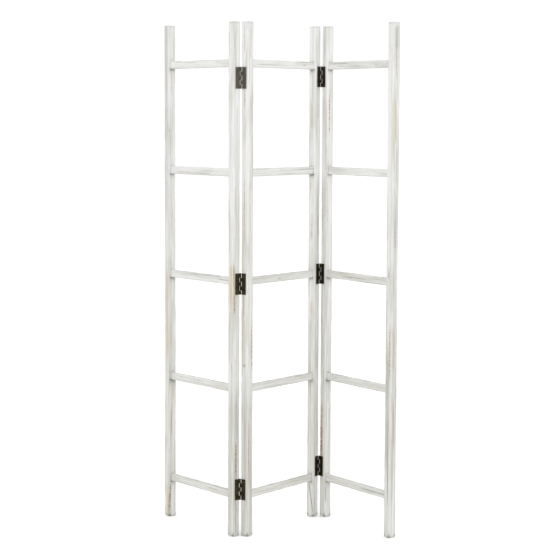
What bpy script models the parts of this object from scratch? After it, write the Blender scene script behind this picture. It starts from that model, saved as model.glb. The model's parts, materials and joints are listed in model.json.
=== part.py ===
"""Folding room divider: three ladder panels joined by two lines of butt hinges.

Units are metres and +Z is up. Each panel is drawn flat in its own frame: X runs from its left post to
its right post, Y runs from its front face to its back face, and Z is height above the floor. The middle
panel carries the two outer panels. Each outer panel hangs from an empty that stands on its hinge axis.
"""

import math

import bmesh
import bpy
from mathutils import Matrix, Vector

# Panels
SCREEN_HEIGHT = 1.700  # floor to the top of every post
PANEL_WIDTH = 0.400  # outside to outside of a panel's two posts
POST_SIDE = 0.028  # side of a post's square section
POST_EASING = 0.0015  # radius on every edge of a post
FOOT_CHAMFER = 0.005  # round the foot of a post

# Rungs, housed in mortises in the posts
RUNG_COUNT = 5
RUNG_HEIGHT = 0.026
RUNG_THICKNESS = 0.012
RUNG_EASING = 0.0012  # radius on the long edges of a rung
TOP_RUNG_DROP = 0.121  # top of the posts down to the top of the highest rung
LOW_RUNG_RISE = 0.127  # floor up to the underside of the lowest rung
MORTISE_DEPTH = 0.010

# Standing angles, in degrees
MIDDLE_SLANT = 53.0  # the middle panel against the line that the screen spans
LEFT_FOLD = 105.1  # how far the left panel is folded from flat
RIGHT_FOLD = 109.2  # how far the right panel is folded from flat

# Butt hinges
HINGE_HEIGHT = 0.070
LEAF_REACH = 0.020  # pin centre to the free edge of a leaf
LEAF_THICKNESS = 0.0012
PIN_RADIUS = 0.0012
PIN_HEAD_RADIUS = 0.0022
PIN_HEAD_HEIGHT = 0.0010
PIN_TIP_LENGTH = 0.0006  # rounded end below the lowest knuckle
KNUCKLE_COUNT = 5
SCREW_HOLE_RADIUS = 0.0018
SINK_RADIUS = 0.0027  # countersink at the face of the leaf
SCREW_SPREAD = 0.024  # upper and lower screw from the middle one
SCREW_REACH_NEAR = 0.010  # upper and lower screw from the pin centre
SCREW_REACH_FAR = 0.0145  # middle screw from the pin centre
PILOT_RADIUS = 0.0012
PILOT_DEPTH = 0.012

# Where the hinges sit. The left line folds backwards, with its leaves between the posts and its pins just
# behind them. The right line folds forwards, with its leaves and its pins on the front faces.
LEFT_PIN_SETBACK = 0.0005  # pin centre behind the back faces
RIGHT_PIN_INSET = 0.0006  # pin centre beside each post's side face
LEFT_HINGE_RISE = 0.158  # floor up to the centre of the low hinge
LEFT_HINGE_DROP = 0.182  # top of the posts down to the centre of the top hinge
LEFT_HINGE_LIFT = 0.006  # middle hinge above the midpoint of the other two
RIGHT_HINGE_RISE = 0.179
RIGHT_HINGE_DROP = 0.171
RIGHT_HINGE_LIFT = -0.0015

# Clearances
SEAT_GAP = 0.0003  # between two pieces that rest on each other or fit in each other
PIN_GAP = 0.0003  # all round a pin in its knuckles
KNUCKLE_GAP = 0.0004  # between neighbouring knuckles
OVERRUN = 0.002  # how far a cutter passes the face that it opens

# Facets on round shapes
BARREL_SIDES = 18
BORE_SIDES = 14
HOLE_SIDES = 12
PILOT_SIDES = 8
EASING_STEPS = 2
SHARP_ANGLE = math.radians(30.0)

# Sizes that follow from the ones above
BORE_RADIUS = PIN_RADIUS + PIN_GAP
BARREL_RADIUS = BORE_RADIUS + LEAF_THICKNESS
PIN_STANDOFF = BARREL_RADIUS + SEAT_GAP  # pin centre above the face that its leaves lie on
KNUCKLE_LENGTH = HINGE_HEIGHT / KNUCKLE_COUNT
RUNG_LENGTH = PANEL_WIDTH - 2 * POST_SIDE + 2 * MORTISE_DEPTH
RUNG_PITCH = (SCREEN_HEIGHT - TOP_RUNG_DROP - LOW_RUNG_RISE - RUNG_HEIGHT) / (RUNG_COUNT - 1)
LEFT_POST_X = POST_SIDE / 2
RIGHT_POST_X = PANEL_WIDTH - POST_SIDE / 2
MID_DEPTH = POST_SIDE / 2

# The two hinge axes, in the middle panel's frame
LEFT_AXIS = Vector((-PIN_STANDOFF, POST_SIDE + LEFT_PIN_SETBACK, 0.0))
RIGHT_AXIS = Vector((PANEL_WIDTH + RIGHT_PIN_INSET, -PIN_STANDOFF, 0.0))

# The corner of each panel, in the frame of the empty that carries it
MIDDLE_CORNER = Vector((0.0, 0.0, 0.0))
LEFT_CORNER = Vector((-PANEL_WIDTH - PIN_STANDOFF, -POST_SIDE - LEFT_PIN_SETBACK, 0.0))
RIGHT_CORNER = Vector((RIGHT_PIN_INSET, PIN_STANDOFF, 0.0))


def clear_scene():
    """Remove every object that the scene starts with."""
    for item in list(bpy.data.objects):
        bpy.data.objects.remove(item, do_unlink=True)


def make_material(name, colour, roughness, metallic):
    """A plain Principled BSDF finish."""
    material = bpy.data.materials.new(name)
    material.use_nodes = True
    shader = material.node_tree.nodes["Principled BSDF"]
    shader.inputs["Base Color"].default_value = (*colour, 1.0)
    shader.inputs["Roughness"].default_value = roughness
    shader.inputs["Metallic"].default_value = metallic
    return material


def post_finish():
    """Limewashed pine, as brushed on the posts."""
    return make_material("post_limewash", (0.77, 0.77, 0.73), 0.70, 0.0)


def rung_finish():
    """Limewashed pine, a little whiter on the rungs."""
    return make_material("rung_limewash", (0.80, 0.80, 0.76), 0.70, 0.0)


def leaf_finish():
    """Antique bronze plate."""
    return make_material("leaf_bronze", (0.085, 0.075, 0.055), 0.45, 0.9)


def pin_finish():
    """Darker bronze on the pins."""
    return make_material("pin_bronze", (0.060, 0.052, 0.040), 0.40, 0.9)


def mesh_from(bm, name):
    """Turn a finished bmesh into a mesh, with its faces outwards."""
    bmesh.ops.recalc_face_normals(bm, faces=bm.faces)
    mesh = bpy.data.meshes.new(name)
    bm.to_mesh(mesh)
    bm.free()
    return mesh


def add_box(bm, low, high):
    """Add the box between two corners and return its edges."""
    low = Vector(low)
    high = Vector(high)
    place = Matrix.Translation((low + high) / 2) @ Matrix.Diagonal((*(high - low), 1.0))
    made = bmesh.ops.create_cube(bm, size=1.0, matrix=place)
    return {edge for corner in made["verts"] for edge in corner.link_edges}


def add_turned(bm, profile, sides, place):
    """Add a solid turned about Z, closed by a flat face at each end of its (radius, height) profile."""
    rings = []
    for step in range(sides):
        turn = place @ Matrix.Rotation(math.tau * step / sides, 4, "Z")
        rings.append([bm.verts.new(turn @ Vector((radius, 0.0, z))) for radius, z in profile])
    for ring, following in zip(rings, rings[1:] + rings[:1]):
        for index in range(len(ring) - 1):
            bm.faces.new((ring[index], following[index], following[index + 1], ring[index + 1]))
    bm.faces.new([ring[0] for ring in rings])
    bm.faces.new([ring[-1] for ring in rings])


def cut_away(mesh, cutter):
    """Return the first mesh less the second, and drop both."""
    body = bpy.data.objects.new("uncut", mesh)
    tool = bpy.data.objects.new("cutter", cutter)
    for helper in (body, tool):
        bpy.context.scene.collection.objects.link(helper)
    cut = body.modifiers.new("cut", "BOOLEAN")
    cut.operation = "DIFFERENCE"
    cut.solver = "EXACT"
    cut.object = tool
    graph = bpy.context.evaluated_depsgraph_get()
    result = bpy.data.meshes.new_from_object(body.evaluated_get(graph))
    result.name = mesh.name
    bpy.data.objects.remove(body)
    bpy.data.objects.remove(tool)
    bpy.data.meshes.remove(cutter)
    return result


def place_object(name, mesh, material, parent, place):
    """Link one named piece under its panel, at a place in the panel's frame."""
    if not mesh.materials:
        mesh.materials.append(material)
    mesh.shade_smooth()
    mesh.set_sharp_from_angle(angle=SHARP_ANGLE)
    piece = bpy.data.objects.new(name, mesh)
    bpy.context.scene.collection.objects.link(piece)
    piece.parent = parent
    piece.matrix_basis = place
    return piece


def place_empty(name, parent, location, turn):
    """Link an empty that stands upright at a location and is turned about Z, in degrees."""
    empty = bpy.data.objects.new(name, None)
    empty.empty_display_size = 0.1
    bpy.context.scene.collection.objects.link(empty)
    empty.parent = parent
    empty.location = location
    empty.rotation_euler = (0.0, 0.0, math.radians(turn))
    return empty


def rung_bottoms():
    """Underside height of each rung, lowest first."""
    return [LOW_RUNG_RISE + index * RUNG_PITCH for index in range(RUNG_COUNT)]


def hinge_heights(rise, drop, lift):
    """Centre heights of the low, mid and top hinge of one line."""
    top = SCREEN_HEIGHT - drop
    return {"low": rise, "mid": (rise + top) / 2 + lift, "top": top}


def screw_points():
    """(reach from the pin, height from the hinge's centre) of the three screws in a leaf."""
    return [
        (SCREW_REACH_NEAR, -SCREW_SPREAD),
        (SCREW_REACH_FAR, 0.0),
        (SCREW_REACH_NEAR, SCREW_SPREAD),
    ]


def along_leaf_normal(reach, height):
    """Place that turns a cutter's Z onto a leaf's outward normal, at one screw."""
    return Matrix.Translation((reach, 0.0, height)) @ Matrix.Rotation(-math.pi / 2, 4, "X")


def post_mesh(inner, leaf_places):
    """A post: origin at the centre of its foot, mortises on its inner side, pilot holes for its leaves.

    inner is +1 where the rungs come in from +X and -1 where they come in from -X. leaf_places are the
    places of the leaves screwed to it, in the post's frame.
    """
    half = POST_SIDE / 2
    bm = bmesh.new()
    edges = add_box(bm, (-half, -half, 0.0), (half, half, SCREEN_HEIGHT))
    foot_edges = [edge for edge in edges if max(corner.co.z for corner in edge.verts) < FOOT_CHAMFER]
    bmesh.ops.bevel(bm, geom=foot_edges, offset=FOOT_CHAMFER, segments=1, affect="EDGES")
    bmesh.ops.bevel(
        bm,
        geom=bm.edges[:],
        offset=POST_EASING,
        segments=EASING_STEPS,
        profile=0.5,
        affect="EDGES",
    )
    solid = mesh_from(bm, "post")
    solid = cut_away(solid, mortise_cutters(inner))
    if leaf_places:
        solid = cut_away(solid, pilot_cutters(leaf_places))
    return solid


def mortise_cutters(inner):
    """One box for each rung's mortise, in a post's frame."""
    floor_x = inner * (POST_SIDE / 2 - MORTISE_DEPTH - SEAT_GAP)
    mouth_x = inner * (POST_SIDE / 2 + OVERRUN)
    depth = RUNG_THICKNESS / 2 + SEAT_GAP
    bm = bmesh.new()
    for bottom in rung_bottoms():
        low = (min(floor_x, mouth_x), -depth, bottom - SEAT_GAP)
        high = (max(floor_x, mouth_x), depth, bottom + RUNG_HEIGHT + SEAT_GAP)
        add_box(bm, low, high)
    return mesh_from(bm, "mortises")


def pilot_cutters(leaf_places):
    """One cylinder for each screw of each leaf, in a post's frame."""
    face = -PIN_STANDOFF
    profile = [(PILOT_RADIUS, face - PILOT_DEPTH), (PILOT_RADIUS, face + OVERRUN)]
    bm = bmesh.new()
    for place in leaf_places:
        for reach, height in screw_points():
            add_turned(bm, profile, PILOT_SIDES, place @ along_leaf_normal(reach, height))
    return mesh_from(bm, "pilot_holes")


def rung_mesh():
    """A rung: origin at its middle, long edges eased, ends square for the mortises."""
    half = Vector((RUNG_LENGTH, RUNG_THICKNESS, RUNG_HEIGHT)) / 2
    bm = bmesh.new()
    edges = add_box(bm, -half, half)
    long_edges = [edge for edge in edges if edge.calc_length() > RUNG_LENGTH - SEAT_GAP]
    bmesh.ops.bevel(
        bm,
        geom=long_edges,
        offset=RUNG_EASING,
        segments=EASING_STEPS,
        profile=0.5,
        affect="EDGES",
    )
    return mesh_from(bm, "rung")


def rolled_section():
    """Outline of a leaf rolled into a barrel: its plate, then the arc round the pin."""
    start = -math.asin(BORE_RADIUS / BARREL_RADIUS)
    end = 1.5 * math.pi
    outline = [(LEAF_REACH, -BARREL_RADIUS), (LEAF_REACH, -BORE_RADIUS)]
    for step in range(BARREL_SIDES + 1):
        angle = start + (end - start) * step / BARREL_SIDES
        outline.append((BARREL_RADIUS * math.cos(angle), BARREL_RADIUS * math.sin(angle)))
    return outline


def bore_section():
    """Outline of the hole for the pin."""
    angles = [math.tau * step / BORE_SIDES for step in range(BORE_SIDES)]
    return [(BORE_RADIUS * math.cos(angle), BORE_RADIUS * math.sin(angle)) for angle in angles]


def leaf_mesh(name, cut_knuckles):
    """A hinge leaf: pin along Z at the origin, plate along +X, screw heads on the +Y side.

    cut_knuckles are the knuckles, counted from 0 at the bottom, that belong to the other leaf.
    """
    base = -HINGE_HEIGHT / 2
    bm = bmesh.new()
    rim = []
    for outline in (rolled_section(), bore_section()):
        loop = [bm.verts.new((x, y, base)) for x, y in outline]
        rim += [bm.edges.new(pair) for pair in zip(loop, loop[1:] + loop[:1])]
    bmesh.ops.triangle_fill(bm, use_beauty=True, use_dissolve=False, edges=rim)
    raised = bmesh.ops.extrude_face_region(bm, geom=bm.faces[:])["geom"]
    lifted = [item for item in raised if isinstance(item, bmesh.types.BMVert)]
    bmesh.ops.translate(bm, verts=lifted, vec=(0.0, 0.0, HINGE_HEIGHT))
    solid = mesh_from(bm, name)
    solid = cut_away(solid, notch_cutters(cut_knuckles))
    return cut_away(solid, screw_cutters())


def notch_cutters(cut_knuckles):
    """A box round each of the other leaf's knuckles, with the gap between neighbours."""
    side = BARREL_RADIUS + OVERRUN
    bm = bmesh.new()
    for index in cut_knuckles:
        low_z = index * KNUCKLE_LENGTH - HINGE_HEIGHT / 2 - KNUCKLE_GAP / 2
        high_z = low_z + KNUCKLE_LENGTH + KNUCKLE_GAP
        if index == 0:
            low_z -= OVERRUN
        if index == KNUCKLE_COUNT - 1:
            high_z += OVERRUN
        add_box(bm, (-side, -side, low_z), (BARREL_RADIUS + KNUCKLE_GAP, side, high_z))
    return mesh_from(bm, "notches")


def screw_cutters():
    """A countersunk hole through the plate for each screw."""
    profile = [
        (SCREW_HOLE_RADIUS, -BARREL_RADIUS - OVERRUN),
        (SCREW_HOLE_RADIUS, -BORE_RADIUS - (SINK_RADIUS - SCREW_HOLE_RADIUS)),
        (SINK_RADIUS, -BORE_RADIUS),
        (SINK_RADIUS, -BORE_RADIUS + OVERRUN),
    ]
    bm = bmesh.new()
    for reach, height in screw_points():
        add_turned(bm, profile, HOLE_SIDES, along_leaf_normal(reach, height))
    return mesh_from(bm, "screw_holes")


def pin_mesh():
    """A hinge pin: a domed head above the top knuckle, a shank, and a rounded tip."""
    end = HINGE_HEIGHT / 2
    seat = end + SEAT_GAP
    profile = [
        (PIN_RADIUS * 0.6, -end - PIN_TIP_LENGTH),
        (PIN_RADIUS, -end),
        (PIN_RADIUS, seat),
        (PIN_HEAD_RADIUS, seat),
        (PIN_HEAD_RADIUS, seat + PIN_HEAD_HEIGHT * 0.5),
        (PIN_HEAD_RADIUS * 0.6, seat + PIN_HEAD_HEIGHT),
    ]
    bm = bmesh.new()
    add_turned(bm, profile, BORE_SIDES, Matrix.Identity(4))
    return mesh_from(bm, "hinge_pin")


def leaf_place(axis, plate, normal, height):
    """Place of a leaf whose plate runs along one direction and whose outer face looks along another."""
    turn = Matrix((plate, normal, plate.cross(normal))).transposed()
    return Matrix.Translation((axis[0], axis[1], height)) @ turn.to_4x4()


def build_panel(name, parent, corner, posts, finishes):
    """One ladder: two posts and its rungs, with its corner at a point of the parent's frame.

    posts holds, for the left post and then the right one, its name and the places of its leaves in the
    parent's frame.
    """
    sides = ((LEFT_POST_X, 1), (RIGHT_POST_X, -1))
    for (post, leaves), (x, inner) in zip(posts, sides):
        place = Matrix.Translation(corner + Vector((x, MID_DEPTH, 0.0)))
        screwed = [place.inverted() @ leaf for leaf in leaves.values()]
        place_object(f"{name}_{post}_post", post_mesh(inner, screwed), finishes["post"], parent, place)
    for number, bottom in enumerate(rung_bottoms(), start=1):
        middle = corner + Vector((PANEL_WIDTH / 2, MID_DEPTH, bottom + RUNG_HEIGHT / 2))
        place = Matrix.Translation(middle)
        place_object(f"{name}_rung_{number}", rung_mesh(), finishes["rung"], parent, place)


def build_hinge_line(line, outer_panel, middle_panel, outer_places, middle_places, finishes):
    """The hinges of one line: a three-knuckle leaf and the pin outside, a two-knuckle leaf on the middle."""
    outer_leaf = leaf_mesh("outer_leaf", range(1, KNUCKLE_COUNT, 2))
    inner_leaf = leaf_mesh("inner_leaf", range(0, KNUCKLE_COUNT, 2))
    pin = pin_mesh()
    for level, outer_place in outer_places.items():
        hinge = f"{line}_{level}_hinge"
        height = outer_place.translation.z
        pin_place = Matrix.Translation((0.0, 0.0, height))
        place_object(f"{hinge}_outer_leaf", outer_leaf, finishes["leaf"], outer_panel, outer_place)
        place_object(f"{hinge}_pin", pin, finishes["pin"], outer_panel, pin_place)
        middle_place = middle_places[level]
        place_object(f"{hinge}_inner_leaf", inner_leaf, finishes["leaf"], middle_panel, middle_place)


def centre_on_floor(root):
    """Move the whole screen so that the middle of its footprint is the world's origin."""
    bpy.context.view_layer.update()
    graph = bpy.context.evaluated_depsgraph_get()
    points = []
    for item in bpy.context.scene.objects:
        if item.type == "MESH":
            shape = item.evaluated_get(graph)
            points += [item.matrix_world @ corner.co for corner in shape.data.vertices]
    for axis in (0, 1):
        values = [point[axis] for point in points]
        root.location[axis] -= (min(values) + max(values)) / 2
    bpy.context.view_layer.update()


def main():
    """Build the screen, standing folded in a zigzag."""
    clear_scene()
    finishes = {
        "post": post_finish(),
        "rung": rung_finish(),
        "leaf": leaf_finish(),
        "pin": pin_finish(),
    }
    middle = place_empty("middle_panel", None, (0.0, 0.0, 0.0), MIDDLE_SLANT)
    left = place_empty("left_panel", middle, LEFT_AXIS, -LEFT_FOLD)
    right = place_empty("right_panel", middle, RIGHT_AXIS, -RIGHT_FOLD)

    left_levels = hinge_heights(LEFT_HINGE_RISE, LEFT_HINGE_DROP, LEFT_HINGE_LIFT)
    right_levels = hinge_heights(RIGHT_HINGE_RISE, RIGHT_HINGE_DROP, RIGHT_HINGE_LIFT)
    pivot = Vector((0.0, 0.0, 0.0))
    plus_x = Vector((1.0, 0.0, 0.0))
    minus_x = Vector((-1.0, 0.0, 0.0))
    minus_y = Vector((0.0, -1.0, 0.0))
    left_outer = {key: leaf_place(pivot, minus_y, plus_x, z) for key, z in left_levels.items()}
    left_inner = {key: leaf_place(LEFT_AXIS, minus_y, minus_x, z) for key, z in left_levels.items()}
    right_outer = {key: leaf_place(pivot, plus_x, minus_y, z) for key, z in right_levels.items()}
    right_inner = {key: leaf_place(RIGHT_AXIS, minus_x, minus_y, z) for key, z in right_levels.items()}

    left_posts = (("outer", {}), ("hinge", left_outer))
    middle_posts = (("left", left_inner), ("right", right_inner))
    right_posts = (("hinge", right_outer), ("outer", {}))
    build_panel("left", left, LEFT_CORNER, left_posts, finishes)
    build_panel("middle", middle, MIDDLE_CORNER, middle_posts, finishes)
    build_panel("right", right, RIGHT_CORNER, right_posts, finishes)
    build_hinge_line("left", left, middle, left_outer, left_inner, finishes)
    build_hinge_line("right", right, middle, right_outer, right_inner, finishes)
    centre_on_floor(middle)


main()
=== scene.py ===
"""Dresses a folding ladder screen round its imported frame: limewashed timber on bronze butt hinges.

The frame is in metres. X runs left to right, Y from front to back and Z up from the floor. Each
panel also has a frame of its own: X from its left post to its right one, Y from its front to its back.
"""

import json
import logging
import math
import random
from collections.abc import Callable, Iterator
from contextlib import contextmanager
from dataclasses import dataclass, field
from enum import Enum

import bmesh
import bpy
import numpy as np
from mathutils import Matrix, Vector


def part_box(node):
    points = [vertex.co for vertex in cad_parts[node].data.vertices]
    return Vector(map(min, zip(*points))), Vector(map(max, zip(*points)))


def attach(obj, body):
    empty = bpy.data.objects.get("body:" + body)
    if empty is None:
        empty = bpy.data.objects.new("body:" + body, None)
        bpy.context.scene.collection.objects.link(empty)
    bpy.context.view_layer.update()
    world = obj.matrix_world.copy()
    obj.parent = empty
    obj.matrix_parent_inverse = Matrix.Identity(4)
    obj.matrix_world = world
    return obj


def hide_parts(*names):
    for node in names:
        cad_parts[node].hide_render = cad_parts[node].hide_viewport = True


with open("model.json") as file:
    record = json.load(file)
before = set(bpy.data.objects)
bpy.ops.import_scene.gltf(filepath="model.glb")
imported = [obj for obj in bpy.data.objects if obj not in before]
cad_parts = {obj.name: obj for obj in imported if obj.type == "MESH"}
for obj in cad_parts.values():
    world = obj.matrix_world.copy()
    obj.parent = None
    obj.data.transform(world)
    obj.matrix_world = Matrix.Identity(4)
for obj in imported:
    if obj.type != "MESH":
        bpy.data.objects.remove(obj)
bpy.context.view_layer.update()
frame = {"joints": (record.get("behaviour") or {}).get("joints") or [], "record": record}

MM = 0.001
TINY = 0.01 * MM  # lengths closer than this count as equal
WEIGHT_STEPS = 50
UP = Vector((0.0, 0.0, 1.0))
RUNGS = 5  # in each panel
LOG = logging.getLogger("ladder_screen")

Piece = bpy.types.Object
Socket = bpy.types.NodeSocket
Colour = tuple[float, float, float, float]
Test = Callable[[Vector, Vector], bool]


class Face(Enum):
    """A long face of a post, by the way it looks in its panel's frame."""

    FRONT = (0, -1)
    BACK = (0, 1)
    LEFT = (-1, 0)
    RIGHT = (1, 0)


class Mark(Enum):
    """What shows where the coat has suffered; the value is its channel in the wear attribute, whose grime
    channel also holds painted shade.
    """

    BARE = 0
    TAN = 1
    GRIME = 2


class Side(Enum):
    """Which of its panel's two posts a post is; the value points at the rungs."""

    LEFT = 1
    RIGHT = -1


class Leaf(Enum):
    """A leaf of a hinge; the value lists the knuckles it gives up, counted from 0 at the bottom."""

    OUTER = (1, 3)
    INNER = (0, 2, 4)


def srgb(red: float, green: float, blue: float) -> Colour:
    """Turns a colour from 0 to 255 on screen into linear light.

    Args:
        red: red as shown on screen.
        green: green as shown on screen.
        blue: blue as shown on screen.

    Returns:
        The colour's linear red, green and blue, and an alpha of 1.
    """
    linear = []
    for value in (red / 255, green / 255, blue / 255):
        linear.append(value / 12.92 if value <= 0.04045 else ((value + 0.055) / 1.055) ** 2.4)
    return (linear[0], linear[1], linear[2], 1.0)


# ---------------------------------------------------------------------------------------------------
# Bench work
# ---------------------------------------------------------------------------------------------------


class Bench:
    """The hand tools: each one works on a single chosen piece through an operator."""

    @staticmethod
    def pick(*pieces: Piece) -> None:
        """Selects these pieces alone and makes the first one active.

        Args:
            pieces: the pieces to work on.
        """
        if bpy.context.object and bpy.context.object.mode != "OBJECT":
            bpy.ops.object.mode_set(mode="OBJECT")
        bpy.ops.object.select_all(action="DESELECT")
        for piece in pieces:
            piece.select_set(True)
        bpy.context.view_layer.objects.active = pieces[0]

    @staticmethod
    @contextmanager
    def opened(piece: Piece, mode: str = "FACE") -> Iterator[None]:
        """Opens one piece in edit mode with nothing selected, and closes it again.

        Args:
            piece: the piece to shape.
            mode: what is picked inside it, VERT, EDGE or FACE.
        """
        Bench.pick(piece)
        bpy.ops.object.mode_set(mode="EDIT")
        bpy.ops.mesh.select_mode(type=mode)
        bpy.ops.mesh.select_all(action="DESELECT")
        yield
        bpy.ops.object.mode_set(mode="OBJECT")

    @staticmethod
    def pick_faces(piece: Piece, test: Test) -> int:
        """Selects an opened piece's faces by their middle and normal.

        Args:
            piece: the opened piece.
            test: says whether a face with this middle and normal is wanted.

        Returns:
            How many faces are selected.
        """
        bpy.ops.mesh.select_all(action="DESELECT")
        shape = bmesh.from_edit_mesh(piece.data)
        for face in shape.faces:
            face.select_set(test(face.calc_center_median(), face.normal))
        bmesh.update_edit_mesh(piece.data)
        return sum(face.select for face in shape.faces)

    @staticmethod
    def pick_edges(piece: Piece, test: Test) -> int:
        """Selects an opened piece's edges by their middle and their run.

        Args:
            piece: the opened piece.
            test: says whether an edge with this middle and this end-to-end vector is wanted.

        Returns:
            How many edges are selected.
        """
        bpy.ops.mesh.select_all(action="DESELECT")
        shape = bmesh.from_edit_mesh(piece.data)
        for edge in shape.edges:
            start, end = (vert.co for vert in edge.verts)
            edge.select_set(test((start + end) / 2, end - start))
        bmesh.update_edit_mesh(piece.data)
        return sum(edge.select for edge in shape.edges)

    @staticmethod
    def settle(piece: Piece, place: Matrix) -> Piece:
        """Puts a piece at its place and moves that place into its mesh.

        Args:
            piece: the piece.
            place: where its own frame goes.

        Returns:
            The same piece, its object at the origin.
        """
        Bench.pick(piece)
        piece.matrix_world = place
        bpy.context.view_layer.update()
        bpy.ops.object.transform_apply(location=True, rotation=True, scale=True)
        return piece

    @staticmethod
    def name_new(name: str) -> Piece:
        """Names the primitive that was just added and moves its place into its mesh."""
        piece = bpy.context.object
        piece.name = name
        piece.data.name = name
        Bench.pick(piece)
        bpy.ops.object.transform_apply(location=True, rotation=True, scale=True)
        return piece

    @staticmethod
    def block(name: str, low: tuple[float, ...], high: tuple[float, ...]) -> Piece:
        """Adds a squared block between two corners."""
        middle = [(a + b) / 2 for a, b in zip(low, high)]
        size = [b - a for a, b in zip(low, high)]
        bpy.ops.mesh.primitive_cube_add(size=1.0, location=middle, scale=size)
        return Bench.name_new(name)

    @staticmethod
    def rod(name: str, radius: float, low: float, high: float, sides: int = 32) -> Piece:
        """Adds a round rod along Z between two heights."""
        bpy.ops.mesh.primitive_cylinder_add(
            vertices=sides, radius=radius, depth=high - low, location=(0, 0, (low + high) / 2)
        )
        return Bench.name_new(name)

    @staticmethod
    def taper(name: str, radii: tuple[float, float], low: float, high: float, sides: int = 32) -> Piece:
        """Adds a tapered rod along Z, with its radius at its low and its high end."""
        bpy.ops.mesh.primitive_cone_add(
            vertices=sides, radius1=radii[0], radius2=radii[1], depth=high - low,
            location=(0, 0, (low + high) / 2),
        )
        return Bench.name_new(name)

    @staticmethod
    def refine(piece: Piece, kind: str, **settings: object) -> Piece:
        """Adds a modifier with these settings and applies it.

        Args:
            piece: the piece to finish.
            kind: Blender's name for the modifier.
            settings: values of the modifier's own properties.

        Returns:
            The same piece.
        """
        Bench.pick(piece)
        modifier = piece.modifiers.new(kind.lower(), kind)
        for key, value in settings.items():
            setattr(modifier, key, value)
        bpy.ops.object.modifier_apply(modifier=modifier.name)
        return piece

    @staticmethod
    def shape_with(piece: Piece, tool: Piece, operation: str = "DIFFERENCE") -> Piece:
        """Cuts a tool's shape from a piece, or adds it, and throws the tool away."""
        Bench.refine(piece, "BOOLEAN", operation=operation, solver="EXACT", object=tool)
        Bench.discard(tool)
        return piece

    @staticmethod
    def copy_of(piece: Piece, name: str) -> Piece:
        """Copies a piece together with its mesh."""
        Bench.pick(piece)
        bpy.ops.object.duplicate(linked=False)
        twin = bpy.context.object
        twin.name = name
        twin.data.name = name
        return twin

    @staticmethod
    def joined(name: str, pieces: list[Piece]) -> Piece:
        """Joins several pieces into the first one."""
        Bench.pick(*pieces)
        bpy.ops.object.join()
        pieces[0].name = name
        pieces[0].data.name = name
        return pieces[0]

    @staticmethod
    def discard(piece: Piece) -> None:
        """Removes a pattern or tool that isn't part of the object."""
        mesh = piece.data
        bpy.data.objects.remove(piece)
        if mesh is not None:
            bpy.data.meshes.remove(mesh)

    @staticmethod
    def grow(steps: tuple[tuple[float, float], ...]) -> None:
        """Draws the picked faces out along Z, step by step, scaling them about the axis each time.

        Args:
            steps: how far each step rises, and what it scales the faces by.
        """
        for rise, spread in steps:
            bpy.ops.mesh.extrude_region_move(TRANSFORM_OT_translate={"value": (0.0, 0.0, rise)})
            bpy.ops.transform.resize(value=(spread, spread, 1.0), center_override=(0.0, 0.0, 0.0))

    @staticmethod
    def smooth(piece: Piece, angle: float) -> Piece:
        """Shades a piece smooth, except across edges sharper than an angle in degrees."""
        Bench.pick(piece)
        bpy.ops.object.shade_smooth_by_angle(angle=math.radians(angle))
        return piece


# ---------------------------------------------------------------------------------------------------
# Finishes
# ---------------------------------------------------------------------------------------------------


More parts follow.
